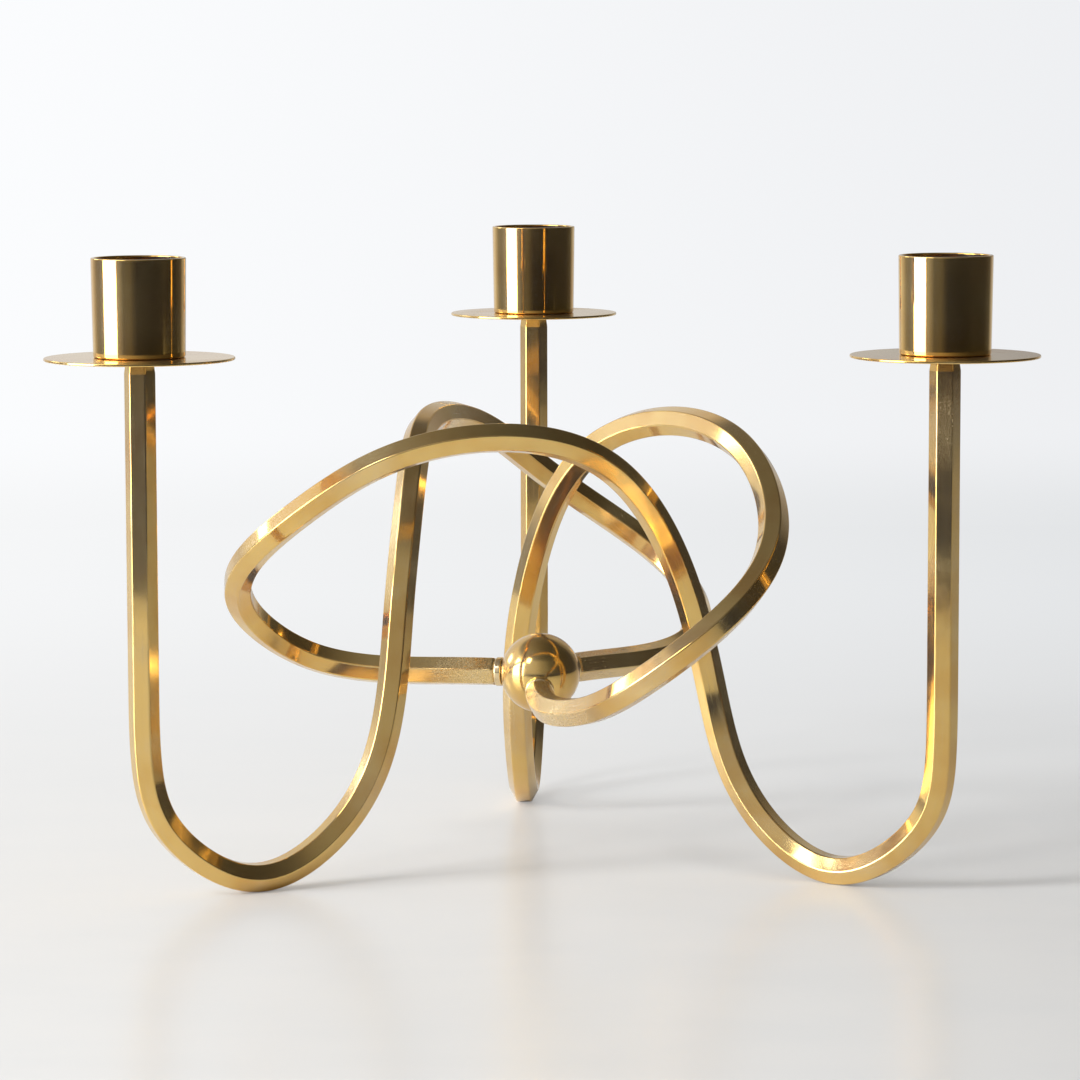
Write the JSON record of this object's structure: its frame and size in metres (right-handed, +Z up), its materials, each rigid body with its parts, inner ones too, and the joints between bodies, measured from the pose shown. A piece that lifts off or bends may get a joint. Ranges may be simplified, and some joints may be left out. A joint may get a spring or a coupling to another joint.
{
  "type": "candlestick",
  "caption": "Candlestick of bent hexagonal brass bars that interlace round a small ball, each bar rising from its foot to a drip pan and a straight candle cup.",
  "frame": {"origin": "on the surface that the feet stand on, straight below the middle of the ball, which is the axis that the stems stand round", "axes": "+Z up; +X to the right and +Y away from the viewer of the picture; the stems stand at azimuths 90, 210 and 330 degrees"},
  "size_m": [0.2528, 0.2255, 0.1652],
  "materials": {
    "bar_brass": "polished hexagonal bar with fine handling scratches",
    "ball_brass": "mirror polished",
    "collar_brass": "polished, paler than the bars",
    "pan_brass": "polished sheet with fine turned lines",
    "cup_brass": "mirror polished",
    "screw_brass": "turned, slightly dull"
  },
  "bodies": {
    "root": {"bar_back": "bar_brass", "bar_left": "bar_brass", "bar_right": "bar_brass", "centre_ball": "ball_brass", "collar_back": "collar_brass", "collar_left": "collar_brass", "collar_right": "collar_brass", "drip_pan_back": "pan_brass", "drip_pan_left": "pan_brass", "drip_pan_right": "pan_brass", "candle_cup_back": "cup_brass", "candle_cup_left": "cup_brass", "candle_cup_right": "cup_brass", "cup_screw_back": "screw_brass", "cup_screw_left": "screw_brass", "cup_screw_right": "screw_brass"}
  },
  "joints": []
}
